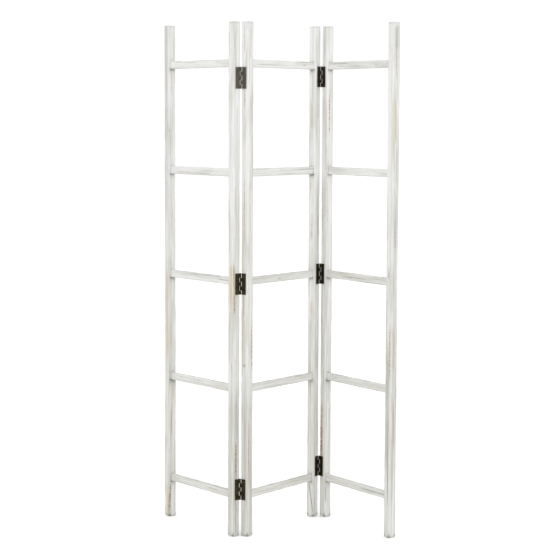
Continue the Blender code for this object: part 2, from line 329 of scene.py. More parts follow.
class Recipe:
    """A material under construction: each method adds one node and returns its output."""

    def __init__(self, name: str) -> None:
        """Starts a material with an empty surface."""
        self.material = bpy.data.materials.new(name)
        self.material.use_nodes = True
        self.tree = self.material.node_tree
        self.tree.nodes.clear()

    def node(self, kind: str, **settings: object) -> bpy.types.Node:
        """Adds a node and sets its properties."""
        made = self.tree.nodes.new(kind)
        for key, value in settings.items():
            setattr(made, key, value)
        return made

    def feed(self, socket: Socket, value: object) -> None:
        """Links an output to a socket, or writes a plain value into it."""
        if isinstance(value, bpy.types.NodeSocket):
            self.tree.links.new(value, socket)
        else:
            socket.default_value = value

    def attribute(self, name: str, vector: bool = True) -> Socket:
        """Reads an attribute of the piece, as a vector or as a number."""
        return self.node("ShaderNodeAttribute", attribute_name=name).outputs["Vector" if vector else "Fac"]

    def height(self) -> Socket:
        """Reads the height above the floor, in metres."""
        return self.split(self.place())[2]

    def place(self) -> Socket:
        """Reads a point's place in the row frame."""
        return self.node("ShaderNodeTexCoord").outputs["Object"]

    def split(self, vector: Socket) -> list[Socket]:
        """Splits a vector into its three numbers."""
        parts = self.node("ShaderNodeSeparateXYZ")
        self.feed(parts.inputs[0], vector)
        return list(parts.outputs)

    def stretched(self, vector: Socket, scale: tuple[float, float, float]) -> Socket:
        """Scales a vector along each axis, so that a pattern runs along the grain."""
        mapping = self.node("ShaderNodeMapping")
        self.feed(mapping.inputs["Vector"], vector)
        mapping.inputs["Scale"].default_value = scale
        return mapping.outputs[0]

    def noise(self, vector: Socket, scale: float, detail: float = 2.0, rough: float = 0.5,
              warp: float = 0.0) -> Socket:
        """Adds a cloudy pattern from 0 to 1."""
        made = self.node("ShaderNodeTexNoise")
        self.feed(made.inputs["Vector"], vector)
        for key, value in (("Scale", scale), ("Detail", detail), ("Roughness", rough), ("Distortion", warp)):
            made.inputs[key].default_value = value
        return made.outputs[0]

    def cells(self, vector: Socket, scale: float) -> Socket:
        """Adds a pattern of distances to scattered points."""
        made = self.node("ShaderNodeTexVoronoi")
        self.feed(made.inputs["Vector"], vector)
        made.inputs["Scale"].default_value = scale
        return made.outputs["Distance"]

    def band(self, value: Socket, low: float, high: float, to: tuple[float, float] = (0.0, 1.0)) -> Socket:
        """Maps a stretch of a pattern smoothly onto a new range, flat outside it."""
        made = self.node("ShaderNodeMapRange", interpolation_type="SMOOTHSTEP", clamp=True)
        self.feed(made.inputs["Value"], value)
        for key, number in (("From Min", low), ("From Max", high), ("To Min", to[0]), ("To Max", to[1])):
            made.inputs[key].default_value = number
        return made.outputs["Result"]

    def sums(self, operation: str, first: object, second: object = 0.0, clamp: bool = False) -> Socket:
        """Does one step of arithmetic."""
        made = self.node("ShaderNodeMath", operation=operation, use_clamp=clamp)
        self.feed(made.inputs[0], first)
        self.feed(made.inputs[1], second)
        return made.outputs[0]

    def times(self, *values: object) -> Socket:
        """Multiplies several patterns."""
        product = values[0]
        for value in values[1:]:
            product = self.sums("MULTIPLY", product, value)
        return product

    def blend(self, amount: object, under: object, over: object) -> Socket:
        """Lays one colour over another by an amount from 0 to 1."""
        made = self.node("ShaderNodeMix", data_type="RGBA")
        self.feed(made.inputs["Factor"], amount)
        self.feed(made.inputs[6], under)
        self.feed(made.inputs[7], over)
        return made.outputs[2]

    def bump(self, height: Socket, depth: float, under: Socket | None = None) -> Socket:
        """Turns a height pattern into a relief of this depth in metres."""
        made = self.node("ShaderNodeBump")
        made.inputs["Strength"].default_value = 1.0
        made.inputs["Distance"].default_value = depth
        self.feed(made.inputs["Height"], height)
        if under is not None:
            self.feed(made.inputs["Normal"], under)
        return made.outputs["Normal"]

    def surface(self, **sockets: object) -> bpy.types.Material:
        """Closes the material with its shader, naming sockets with _ for spaces."""
        shader = self.node("ShaderNodeBsdfPrincipled")
        for key, value in sockets.items():
            self.feed(shader.inputs[key.replace("_", " ")], value)
        out = self.node("ShaderNodeOutputMaterial")
        self.tree.links.new(shader.outputs[0], out.inputs["Surface"])
        return self.material


@dataclass(frozen=True)
class Limewash:
    """White limewash brushed over pine, worn through along the grain."""

    name: str
    coat: Colour = srgb(232, 232, 231)
    thin_coat: Colour = srgb(208, 209, 203)
    streak: Colour = srgb(148, 147, 130)
    tan: Colour = srgb(199, 180, 146)
    bare: Colour = srgb(150, 104, 62)
    rust: Colour = srgb(146, 98, 78)
    grime: Colour = srgb(84, 82, 70)
    low_tint: Colour = srgb(194, 193, 184)
    streak_amount: float = 0.80
    wear_amount: float = 1.0
    rub_amount: float = 0.55
    low_tint_amount: float = 0.55
    low_tint_height: tuple[float, float] = (1.55, 0.05)  # untinted above the first, most tinted below the second

    def material(self) -> bpy.types.Material:
        """Mixes the finish.

        Returns:
            The material, which reads the grain, arris and wear attributes of a timber.
        """
        mix = Recipe(self.name)
        grain = mix.attribute("grain")
        arris = mix.attribute("arris", vector=False)
        bare, tan, grime = mix.split(mix.attribute("wear"))

        hair = mix.noise(mix.stretched(grain, (1400, 1400, 9)), 1.0, 3.0, 0.6)
        line = mix.noise(mix.stretched(grain, (520, 520, 5)), 1.0, 3.0, 0.55)
        drift = mix.noise(mix.stretched(grain, (240, 240, 3.4)), 1.0, 2.0, 0.5, 0.3)
        flow = mix.noise(mix.stretched(grain, (170, 170, 2.2)), 1.0, 3.0, 0.5, 0.4)
        cloud = mix.noise(mix.stretched(grain, (45, 45, 5)), 1.0, 3.0, 0.5)
        pore = mix.cells(mix.stretched(grain, (900, 900, 60)), 1.0)

        # Darker towards the bottom.
        low = mix.band(mix.height(), *self.low_tint_height)
        thin = mix.band(cloud, 0.42, 0.66)
        colour = mix.blend(mix.times(thin, 0.8), self.coat, self.thin_coat)
        low_tint = mix.times(low, mix.band(flow, 0.30, 0.62, (0.25, 1.0)), self.low_tint_amount)
        colour = mix.blend(low_tint, colour, self.low_tint)
        heavy = mix.band(low, 0.0, 1.0, (0.65, 1.0))
        wide = mix.times(mix.band(drift, 0.50, 0.68), mix.band(line, 0.30, 0.60, (0.5, 1.0)), 0.50)
        fine = mix.times(mix.band(line, 0.50, 0.72), mix.band(flow, 0.40, 0.66))
        streaks = mix.times(mix.sums("MAXIMUM", wide, fine), heavy, self.streak_amount)
        colour = mix.blend(streaks, colour, self.streak)
        colour = mix.blend(mix.times(mix.band(hair, 0.52, 0.80), 0.16), colour, self.streak)

        warm = mix.sums("MAXIMUM", mix.times(tan, mix.band(flow, 0.22, 0.50, (0.45, 1.0))),
                        mix.times(mix.band(flow, 0.62, 0.74), mix.band(cloud, 0.45, 0.60), 0.30))
        colour = mix.blend(mix.times(warm, mix.band(line, 0.25, 0.60, (0.45, 1.0)), self.wear_amount),
                           colour, self.tan)

        rubbed = mix.times(mix.band(arris, 0.0018, 0.0, (0.0, 1.0)), mix.band(flow, 0.52, 0.68),
                           mix.band(line, 0.35, 0.65), self.rub_amount)
        wood = mix.blend(mix.band(cloud, 0.40, 0.62), self.bare, self.rust)
        chatter = mix.noise(mix.stretched(grain, (70, 70, 150)), 1.0, 1.0)
        worn = mix.times(bare, mix.band(line, 0.28, 0.52, (0.25, 1.0)),
                         mix.band(chatter, 0.40, 0.56, (0.45, 1.0)))
        worn = mix.sums("MAXIMUM", worn, rubbed, clamp=True)
        colour = mix.blend(mix.times(worn, self.wear_amount), colour, wood)

        # Darkens by the grime channel, which holds both dirt and painted shade.
        dirt_and_shade = mix.times(grime, mix.band(line, 0.25, 0.55, (0.35, 1.0)), mix.band(hair, 0.3, 0.6, (0.6, 1.0)))
        colour = mix.blend(dirt_and_shade, colour, self.grime)
        pores = mix.times(mix.band(pore, 0.22, 0.05), mix.band(flow, 0.45, 0.62), 0.30)
        colour = mix.blend(pores, colour, self.grime)

        rough = mix.band(mix.sums("ADD", worn, mix.times(line, 0.6)), 0.1, 1.2, (0.52, 0.80))
        relief = mix.bump(line, 0.00035)
        relief = mix.bump(hair, 0.00012, relief)
        relief = mix.bump(mix.sums("MULTIPLY", worn, -1.0), 0.0003, relief)
        return mix.surface(Base_Color=colour, Roughness=rough, Normal=relief)


@dataclass(frozen=True)
class AgedBronze:
    """Dark bronze plate, mottled by age, brushed and specked."""

    name: str
    deep: Colour = srgb(40, 35, 20)
    warm: Colour = srgb(76, 67, 42)
    dust_and_sheen: Colour = srgb(134, 131, 122)
    roughness: tuple[float, float] = (0.36, 0.60)
    metallic: float = 0.92

    def material(self) -> bpy.types.Material:
        """Mixes the finish.

        Returns:
            The material, which reads the place of a point and the attribute for dust and painted sheen.
        """
        mix = Recipe(self.name)
        place = mix.place()
        dust_and_sheen = mix.attribute("dust_and_sheen", vector=False)
        patch = mix.noise(mix.stretched(place, (160, 160, 110)), 1.0, 4.0, 0.6)
        brushed = mix.noise(mix.stretched(place, (1500, 1500, 90)), 1.0, 2.0, 0.5)
        speck = mix.noise(place, 900.0, 2.0, 0.5)
        colour = mix.blend(mix.band(patch, 0.38, 0.66), self.deep, self.warm)
        colour = mix.blend(mix.times(mix.band(brushed, 0.55, 0.75), 0.35), colour, self.dust_and_sheen)
        colour = mix.blend(mix.times(mix.band(speck, 0.62, 0.72), 0.4), colour, self.deep)
        # Pales the bronze towards grey: partly dust, partly a painted sheen for the light catching the upper
        # hinges.
        veil = mix.times(dust_and_sheen, mix.band(patch, 0.30, 0.62, (0.55, 1.0)),
                         mix.band(brushed, 0.3, 0.6, (0.7, 1.0)))
        colour = mix.blend(veil, colour, self.dust_and_sheen)
        rough = mix.sums("ADD", mix.band(patch, 0.3, 0.7, self.roughness), mix.times(dust_and_sheen, 0.25), clamp=True)
        relief = mix.bump(brushed, 0.00004)
        relief = mix.bump(speck, 0.00005, relief)
        return mix.surface(Base_Color=colour, Roughness=rough, Metallic=self.metallic, Normal=relief)


@dataclass(frozen=True)
class PaleFloor:
    """A plain pale floor with a faint mottle."""

    name: str = "pale_floor"
    tone: Colour = srgb(255, 255, 254)
    shade: Colour = srgb(253, 253, 252)
    glow: float = 0.06

    def material(self) -> bpy.types.Material:
        """Mixes the finish."""
        mix = Recipe(self.name)
        mottle = mix.noise(mix.place(), 3.0, 4.0)
        colour = mix.blend(mix.band(mottle, 0.3, 0.7), self.tone, self.shade)
        rough = mix.band(mottle, 0.3, 0.7, (0.85, 0.95))
        return mix.surface(Base_Color=colour, Roughness=rough, Specular_IOR_Level=0.1,
                           Emission_Color=self.tone, Emission_Strength=self.glow)


@dataclass
class Finishes:
    """Every finish of the screen, mixed once."""

    post: bpy.types.Material
    rung: bpy.types.Material
    leaf: bpy.types.Material
    pin: bpy.types.Material
    screw: bpy.types.Material

    @classmethod
    def mixed(cls) -> "Finishes":
        """Mixes them all."""
        return cls(
            post=Limewash("post_limewash_coat").material(),
            rung=Limewash("rung_limewash_coat", streak_amount=0.6, wear_amount=0.6).material(),
            leaf=AgedBronze("leaf_aged_bronze").material(),
            pin=AgedBronze("pin_dark_bronze", deep=srgb(34, 31, 24), warm=srgb(58, 52, 38)).material(),
            screw=AgedBronze("screw_dark_bronze", warm=srgb(88, 78, 56), roughness=(0.28, 0.45)).material(),
        )


# ---------------------------------------------------------------------------------------------------
# Timber
# ---------------------------------------------------------------------------------------------------


@dataclass(frozen=True)
class Streak:
    """One worn or dirty streak on a long face, in millimetres from the face's centre line and one end."""

    face: Face
    kind: Mark
    across: tuple[float, float]  # at its low end and at its high end
    along: tuple[float, float]  # from the foot of a post, or from a rung's left end
    width: float
    strength: float

    @classmethod
    def read(cls, row: "Row") -> "Streak":
        """Reads a streak from a row of the table."""
        face, kind, across_low, across_high, low, high, width, strength = row
        return cls(face, kind, (across_low, across_high), (low, high), width, strength)


B, T, G = Mark.BARE, Mark.TAN, Mark.GRIME
FRONT, LEFT, RIGHT = Face.FRONT, Face.LEFT, Face.RIGHT

Row = tuple[Face, Mark, float, float, float, float, float, float]

# Face, kind, across its low and high end, its low and high end along the post, width and strength.
STREAK_ROWS: dict[str, tuple[Row, ...]] = {
    "left_outer_post": (
        (RIGHT, G, -11.7, -11.7, 1339, 1347, 1.4, 0.75),
        (RIGHT, T, -3.8, -3.4, 980, 1125, 2.3, 0.52),
        (FRONT, T, 4.0, 0.0, 560, 850, 5.8, 0.78),
        (RIGHT, B, -6.7, -6.5, 595, 690, 1.4, 0.56),
        (RIGHT, B, -5.6, -5.3, 295, 385, 1.6, 0.75),
        (FRONT, G, -12.4, -7.0, 80, 285, 1.5, 0.94),
        (RIGHT, B, -13.0, -9.8, 35, 112, 3.2, 1.0),
        (FRONT, B, 9.8, 13.0, 22, 80, 3.2, 1.0),
        (FRONT, T, 3.0, 3.0, 5, 110, 5.8, 0.59),
        (FRONT, G, -12.8, -12.8, 20, 31, 1.8, 1.0),
        (FRONT, G, 0.0, 0.0, 1050, 1800, 10.0, 0.26),
        (RIGHT, G, 0.0, 0.0, 1250, 1800, 10.0, 0.14),
    ),
    "left_hinge_post": (
        (FRONT, G, -9.3, -9.3, 1600, 1668, 1.2, 0.56),
        (RIGHT, G, -9.0, -9.0, 1600, 1668, 1.2, 0.5),
        (FRONT, G, -5.1, -5.2, 950, 1080, 1.4, 0.5),
        (FRONT, T, 2.2, 2.2, 775, 905, 5.8, 0.98),
        (RIGHT, T, -9.0, -10.0, 750, 905, 3.4, 1.0),
        (RIGHT, B, -8.0, -8.3, 750, 806, 1.9, 1.0),
        (RIGHT, B, -10.1, -10.1, 866, 904, 1.6, 0.75),
        (RIGHT, B, -0.1, -1.0, 206, 312, 2.6, 1.0),
        (RIGHT, G, 4.8, -3.8, 79, 128, 1.2, 0.88),
        (RIGHT, G, -1.0, -6.5, 92, 122, 1.1, 0.62),
        (FRONT, G, -3.0, -2.0, 40, 330, 2.7, 0.38),
        (FRONT, G, 0.0, 0.0, -80, 480, 10.0, 0.22),
        (RIGHT, G, 0.0, 0.0, -80, 480, 10.0, 0.26),
        (RIGHT, G, 2.0, 2.0, 900, 1400, 9.0, 0.18),
    ),
    "middle_left_post": (
        (FRONT, B, -2.3, -0.9, 1580, 1682, 2.0, 0.69),
        (LEFT, G, 1.6, 1.7, 1600, 1692, 1.6, 0.5),
        (LEFT, B, 1.4, 1.4, 1426, 1488, 1.4, 0.88),
        (LEFT, B, 1.1, 1.4, 985, 1182, 1.5, 0.69),
        (FRONT, T, -3.6, -4.0, 985, 1182, 2.1, 0.78),
        (LEFT, T, 5.0, 7.0, 600, 1150, 4.6, 0.39),
        (LEFT, G, 3.3, 3.4, 740, 812, 1.4, 0.75),
        (FRONT, B, 7.1, 6.7, 562, 700, 2.2, 1.0),
        (LEFT, G, 0.5, 1.5, 571, 577, 3.5, 1.0),
        (FRONT, B, -7.8, -8.0, 224, 340, 1.6, 0.8),
        (FRONT, T, -7.0, -7.0, 180, 380, 3.6, 0.75),
        (LEFT, G, 0.0, 0.0, -80, 480, 10.0, 0.26),
        (FRONT, G, 0.0, 0.0, -80, 480, 10.0, 0.22),
        (LEFT, G, -2.0, -2.0, 850, 1100, 9.0, 0.14),
    ),
    "middle_right_post": (
        (FRONT, G, 8.4, 7.4, 1595, 1690, 1.2, 0.75),
        (LEFT, T, 0.9, 1.3, 1358, 1436, 2.8, 1.0),
        (FRONT, B, 2.0, 1.6, 1383, 1436, 1.5, 0.94),
        (LEFT, B, -1.7, -1.2, 974, 1056, 2.2, 0.75),
        (LEFT, T, 5.3, 5.3, 1138, 1172, 2.3, 1.0),
        (FRONT, G, 3.7, 1.9, 890, 1118, 1.2, 0.75),
        (LEFT, T, -2.7, -2.5, 706, 760, 2.1, 0.91),
        (FRONT, G, 1.5, 1.0, 522, 588, 1.5, 0.62),
        (LEFT, G, -12.3, 4.7, 18, 118, 1.9, 1.0),
    ),
    "right_hinge_post": (
        (FRONT, G, -3.9, -5.0, 1570, 1692, 1.4, 0.69),
        (RIGHT, B, -1.7, -2.6, 1335, 1476, 1.6, 1.0),
        (FRONT, B, -6.0, -7.4, 1002, 1168, 1.2, 0.94),
        (FRONT, B, -9.9, -11.1, 637, 778, 1.2, 0.88),
        (FRONT, B, -7.4, -5.6, 212, 400, 6.8, 1.0),
        (RIGHT, G, -8.0, -8.3, 58, 110, 1.9, 0.88),
    ),
    "right_outer_post": (
        (RIGHT, G, 0.9, 0.1, 1615, 1688, 6.8, 0.44),
        (RIGHT, T, -1.8, -3.3, 1315, 1448, 3.4, 0.85),
        (RIGHT, T, -6.9, -8.0, 1222, 1320, 2.9, 0.65),
        (RIGHT, B, 1.3, 0.7, 966, 1022, 1.4, 0.81),
        (FRONT, G, -5.6, -6.9, 986, 1086, 1.2, 0.62),
        (FRONT, B, 1.5, 1.2, 866, 898, 1.8, 1.0),
        (FRONT, B, -6.9, -8.2, 652, 754, 1.1, 0.88),
        (FRONT, B, 10.5, 8.8, 538, 700, 2.2, 0.9),
        (RIGHT, T, -2.1, -3.0, 560, 700, 3.6, 1.0),
        (RIGHT, G, 1.1, 0.6, 316, 441, 2.4, 0.55),
        (RIGHT, T, 1.1, 0.6, 300, 460, 3.4, 1.0),
        (FRONT, G, 6.0, 5.3, 126, 414, 1.6, 1.0),
        (FRONT, G, -13.2, -13.2, 126, 410, 1.4, 0.75),
        (RIGHT, G, -11.0, -11.0, 6, 14, 3.0, 1.0),
        (FRONT, G, 0.0, 0.0, 240, 620, 10.0, 0.36),
        (RIGHT, G, 1.0, 1.0, 200, 1150, 10.0, 0.24),
    ),
}


@dataclass
class Timber:
    """A length of planed timber whose grain runs along one axis of its own frame."""

    half_width: float  # half its size along its own X
    half_depth: float  # half its size along its own Y
    length: float  # along its own Z
    easing: float
    column: float = 1.0 * MM  # spacing of its mesh across the grain
    row: float = 8.0 * MM  # spacing of its mesh along the grain
    worn_band: float = 2.6 * MM  # how far in from a long edge the wear reaches
    grain_depth: float = 0.35 * MM
    wear_depth: float = 1.1 * MM

    def weave(self, piece: Piece) -> None:
        """Divides the faces evenly, so that the relief and the marks have points to sit on.

        Args:
            piece: the timber, squared and eased, with its grain along Z.
        """
        for axis, spacing in ((2, self.row), (0, self.column), (1, self.column)):
            with Bench.opened(piece, "EDGE"):
                while True:
                    longest = self._longest(piece, axis)
                    cuts = round(longest / spacing) - 1
                    if cuts < 1:
                        break
                    Bench.pick_edges(piece, lambda _, run: self._runs(run, axis, longest))
                    bpy.ops.mesh.subdivide(number_cuts=cuts)

    @staticmethod
    def _runs(run: Vector, axis: int, length: float) -> bool:
        """Says whether an edge runs along an axis and has a length, to a hundredth of a millimetre."""
        return abs(abs(run[axis]) - length) < TINY and run.length - abs(run[axis]) < TINY

    @staticmethod
    def _longest(piece: Piece, axis: int) -> float:
        """Finds the longest edge that runs along an axis of an opened piece."""
        longest = 0.0
        for edge in bmesh.from_edit_mesh(piece.data).edges:
            run = edge.verts[1].co - edge.verts[0].co
            if run.length - abs(run[axis]) < TINY:
                longest = max(longest, abs(run[axis]))
        return longest

    def points(self, piece: Piece) -> np.ndarray:
        """Reads the corner points of a piece, one row each."""
        flat = np.empty(len(piece.data.vertices) * 3, dtype=np.float32)
        piece.data.vertices.foreach_get("co", flat)
        return flat.reshape(-1, 3)

    def arris_distance(self, points: np.ndarray) -> np.ndarray:
        """Measures how far each point of the surface is from the nearest long edge, in metres."""
        inset = np.stack([self.half_width - np.abs(points[:, 0]), self.half_depth - np.abs(points[:, 1])])
        return np.clip(inset.max(axis=0), 0.0, None)

    def end_distance(self, points: np.ndarray) -> np.ndarray:
        """Measures how far each point is from the nearer end, in metres."""
        return np.minimum(points[:, 2], self.length - points[:, 2])

    def weigh(self, piece: Piece, group: str, weights: np.ndarray) -> None:
        """Writes a vertex group from a row of weights, in even steps."""
        made = piece.vertex_groups.new(name=group)
        steps = np.round(np.clip(weights, 0.0, 1.0) * WEIGHT_STEPS).astype(int)
        for step in range(1, WEIGHT_STEPS + 1):
            members = np.flatnonzero(steps == step).tolist()
            if members:
                made.add(members, step / WEIGHT_STEPS, "REPLACE")

    def weather(self, piece: Piece, seed: int, free: np.ndarray) -> None:
        """Raises the grain and wears the long edges, always inwards.

        Args:
            piece: the timber, woven.
            seed: which stretch of the pattern this piece gets.
            free: 1 where a point may move, 0 where it is seated against something.
        """
        points = self.points(piece)
        arris = self.arris_distance(points)
        self.weigh(piece, "grain_relief", free)
        self.weigh(piece, "edge_wear", free * np.clip(1.0 - arris / self.worn_band, 0.0, 1.0) ** 0.7)
        self._press(piece, "grain_relief", seed, (5.0 * MM, 5.0 * MM, 0.25), self.grain_depth, 1.0)
        self._press(piece, "edge_wear", seed + 7, (6.0 * MM, 6.0 * MM, 0.045), self.wear_depth, 2.6)
        piece.vertex_groups.clear()
        worn = self.points(piece)
        proud = ((worn - points)[:, :2] * points[:, :2]).sum(axis=1) > 0.0
        worn[proud] = points[proud]
        piece.data.vertices.foreach_set("co", worn.ravel())
        piece.data.update()

    @staticmethod
    def _press(piece: Piece, group: str, seed: int, size: tuple[float, float, float], depth: float,
               contrast: float) -> None:
        """Presses a cloudy pattern into a piece.

        Args:
            piece: the timber.
            group: the vertex group that it works on.
            seed: which stretch of the pattern is used.
            size: the pattern's scale along each axis.
            depth: the deepest dent.
            contrast: how sharply the dents stand out.
        """
        clouds = bpy.data.textures.new(group, "CLOUDS")
        clouds.noise_scale = 1.0
        clouds.noise_depth = 3
        clouds.contrast = contrast
        guide = bpy.data.objects.new(group, None)
        bpy.context.scene.collection.objects.link(guide)
        guide.location = (0.37 * seed, 0.53 * seed, 0.71 * seed)
        guide.scale = size
        bpy.context.view_layer.update()
        Bench.refine(piece, "DISPLACE", texture=clouds, texture_coords="OBJECT", texture_coords_object=guide,
                     direction="NORMAL", mid_level=1.0, strength=depth, vertex_group=group)
        bpy.data.objects.remove(guide)
        bpy.data.textures.remove(clouds)

    def record_grain(self, piece: Piece, seed: int, streaks: list[Streak], grime: np.ndarray) -> None:
        """Writes what the finish reads: the grain's own coordinates, the arris, and the wear together with
        the painted shade.

        Args:
            piece: the timber in its own frame, grain along Z.
            seed: which stretch of the grain this piece is cut from.
            streaks: its worn and dirty streaks.
            grime: how dirty or darkened by painted shade each point is before the streaks are added, from 0
                to 1.
        """
        points = self.points(piece)
        offset = np.array([0.31, 0.17, 2.9], dtype=np.float32) * seed
        self._write(piece, "grain", "FLOAT_VECTOR", "vector", points + offset)
        self._write(piece, "arris", "FLOAT", "value", self.arris_distance(points))
        wear = np.zeros_like(points)
        # The grime channel also carries the painted shade under and along the rungs.
        wear[:, Mark.GRIME.value] = grime
        for streak in streaks:
            channel = streak.kind.value
            wear[:, channel] = np.maximum(wear[:, channel], self._cover(points, streak))
        self._write(piece, "wear", "FLOAT_VECTOR", "vector", np.clip(wear, 0.0, 1.0))

    def _cover(self, points: np.ndarray, streak: Streak) -> np.ndarray:
        """Works out how strongly a streak covers each point.

        Args:
            points: the points of the piece.
            streak: the streak.

        Returns:
            A number from 0 to 1 for each point.
        """
        axis, side = (0, streak.face.value[0]) if streak.face.value[0] else (1, streak.face.value[1])
        reach = (self.half_width, self.half_depth)[axis]
        on_face = np.clip((points[:, axis] * side - reach + 2.2 * MM) / (1.2 * MM), 0.0, 1.0)
        low, high = (value * MM for value in streak.along)
        part = np.clip((points[:, 2] - low) / (high - low), 0.0, 1.0)
        centre = (streak.across[0] + (streak.across[1] - streak.across[0]) * part) * MM
        sideways = (points[:, 1 - axis] - centre) / (streak.width * MM)
        fade = max(0.18 * (high - low), 4.0 * MM)
        past = np.clip(np.maximum(low - points[:, 2], points[:, 2] - high) / fade + 0.5, 0.0, 1.0)
        return streak.strength * on_face * np.exp(-sideways ** 2) * (1.0 - past)

    @staticmethod
    def _write(piece: Piece, name: str, kind: str, key: str, values: np.ndarray) -> None:
        """Writes one attribute of a piece's points."""
        made = piece.data.attributes.new(name, kind, "POINT")
        made.data.foreach_set(key, np.ascontiguousarray(values, dtype=np.float32).ravel())

    def chance_streaks(self, seed: int, count: int, tone: float) -> list[Streak]:
        """Scatters small streaks over all four faces, the same ones at each run.

        Args:
            seed: the piece's own number.
            count: how many streaks.
            tone: how strong they are, from 0 to 1.

        Returns:
            The streaks.
        """
        dice = random.Random(seed)
        made = []
        for _ in range(count):
            face = dice.choice(list(Face))
            reach = self.half_depth if face.value[0] else self.half_width
            across = dice.uniform(-0.9, 0.9) * reach / MM
            start = dice.uniform(0.0, 0.95) * self.length / MM
            run = dice.choice((20.0, 45.0, 80.0, 140.0)) * dice.uniform(0.7, 1.3)
            kind = dice.choices((Mark.GRIME, Mark.TAN, Mark.BARE), (5, 4, 2))[0]
            width = dice.uniform(0.7, 1.5) * (2.0 if kind is Mark.TAN else 1.0)
            drift = dice.uniform(-0.8, 0.8)
            made.append(Streak(face, kind, (across, across + drift), (start, start + run), width,
                               tone * dice.uniform(0.4, 1.0)))
        return made


@dataclass
class Post(Timber):
    """A square post with a mortise for each rung in one side."""

    half_width: float = 14.0 * MM
    half_depth: float = 14.0 * MM
    length: float = 1.7
    easing: float = 1.5 * MM
    foot_chamfer: float = 5.0 * MM
    rung_spans: list[tuple[float, float]] = field(default_factory=list)  # underside and top of each rung
    rung_half: float = 6.0 * MM
    mortise_depth: float = 10.0 * MM
    seat_gap: float = 0.1 * MM
    scattered: tuple[int, float] = (60, 0.55)  # how many small streaks, and how strong

    def pattern(self) -> Piece:
        """Shapes the post that all six are copied from, its mortises looking along +X.

        Returns:
            The post, standing on the floor at the origin.
        """
        post = Bench.block("post_pattern", (-self.half_width, -self.half_depth, 0.0),
                           (self.half_width, self.half_depth, self.length))
        cheek = self.rung_half + self.seat_gap
        with Bench.opened(post, "EDGE"):
            Bench.pick_edges(post, lambda middle, _: middle.z < 0.5 * self.foot_chamfer)
            bpy.ops.mesh.bevel(offset=self.foot_chamfer, segments=1, affect="EDGES")
            bpy.ops.mesh.select_all(action="SELECT")
            bpy.ops.mesh.bevel(offset=self.easing, segments=2, profile=0.5, affect="EDGES")
            for low, high in self.rung_spans:
                for level in (low - self.seat_gap, high + self.seat_gap):
                    bpy.ops.mesh.select_all(action="SELECT")
                    bpy.ops.mesh.bisect(plane_co=(0.0, 0.0, level), plane_no=(0.0, 0.0, 1.0))
            for side in (-cheek, cheek):
                bpy.ops.mesh.select_all(action="SELECT")
                bpy.ops.mesh.bisect(plane_co=(0.0, side, 0.0), plane_no=(0.0, 1.0, 0.0))
        with Bench.opened(post, "FACE"):
            count = Bench.pick_faces(post, self._is_mortise)
            if count != len(self.rung_spans):
                raise ValueError(f"{count} mortises were found for {len(self.rung_spans)} rungs")
            sink = {"value": (-self.mortise_depth - self.seat_gap, 0.0, 0.0)}
            bpy.ops.mesh.extrude_region_move(TRANSFORM_OT_translate=sink)
        self.weave(post)
        return post

    def _is_mortise(self, middle: Vector, normal: Vector) -> bool:
        """Says whether a face is the mouth of a mortise."""
        if normal.x < 0.99 or abs(middle.y) > self.rung_half:
            return False
        return any(low < middle.z < high for low, high in self.rung_spans)

    def make(self, pattern: Piece, node: str, side: Side, seed: int) -> Piece:
        """Copies the pattern and gives the copy its own relief, grain, wear and painted shadow under the
        rungs.

        Args:
            pattern: the post that is copied.
            node: the CAD node that this post stands for.
            side: which of its panel's posts it is.
            seed: its number.

        Returns:
            The post in its panel's frame, standing at the origin.
        """
        post = Bench.copy_of(pattern, f"{node}_timber")
        if side is Side.RIGHT:
            Bench.settle(post, Matrix.Rotation(math.pi, 4, "Z"))
        points = self.points(post)
        inside = (np.abs(points[:, 1]) < self.rung_half + 2 * self.seat_gap) & (
            points[:, 0] * side.value < self.half_width - 0.5 * MM
        ) & (points[:, 0] * side.value > 0.0) & (np.abs(points[:, 1]) < self.half_depth - 2 * MM)
        at_end = (self.end_distance(points) < 0.6 * self.easing) | (points[:, 2] < self.foot_chamfer)
        free = np.where(inside | at_end, 0.0, 1.0)
        self.weather(post, seed, free)
        streaks = [Streak.read(row) for row in STREAK_ROWS[node]] + self.chance_streaks(seed, *self.scattered)
        # How dark each rung's painted shadow is and how far it runs down, varied from rung to rung.
        dice = random.Random(seed * 101)
        shadow_sizes = [dice.random() for _ in range(2 * len(self.rung_spans))]
        self.record_grain(post, seed, streaks, self._grime(self.points(post), side, shadow_sizes))
        return Bench.smooth(post, 40.0)

    def _grime(self, points: np.ndarray, side: Side, shadow_sizes: list[float]) -> np.ndarray:
        """Works out the painted shadow under each rung's joint, the dirt along the two ends and the darkening
        on the foot's corners.

        Args:
            points: the points of the post.
            side: which side its rungs are on.
            shadow_sizes: for each rung, how dark its painted shadow is and how far it runs down, from 0 to 1.

        Returns:
            The dirt and painted shade at each point, from 0 to 1.
        """
        x, y, z = points.T
        grime = 0.40 * np.exp(-self.end_distance(points) / (2.0 * MM))
        # Darker on the foot's corners, nearest the floor.
        corner = np.hypot(self.half_width - np.abs(x), self.half_depth - np.abs(y))
        past = np.clip(corner - self.foot_chamfer, 0.0, None)
        grime = np.maximum(grime, 1.8 * np.exp(-past / (2.4 * MM)) * np.exp(-z / (7.0 * MM)))
        on_side = x * side.value > self.half_width - 2.0 * MM
        beside = np.clip(np.abs(y) - self.rung_half, 0.0, None)
        for (low, high), strength, drop in zip(self.rung_spans, shadow_sizes[::2], shadow_sizes[1::2]):
            above = np.clip(np.maximum(low - z, z - high), 0.0, None)
            round_it = 0.10 * np.exp(-np.hypot(beside, above) / (1.4 * MM))
            # Painted shadow cast below the rung onto the post's side.
            reach = (3.5 + 5.0 * drop) * MM
            painted_shadow = (0.8 + 0.6 * strength) * np.exp(-np.hypot(1.3 * beside, above) / reach)
            below = np.where(z < low, painted_shadow, 0.0)
            grime = np.maximum(grime, np.where(on_side, np.maximum(round_it, below), 0.0))
        return grime


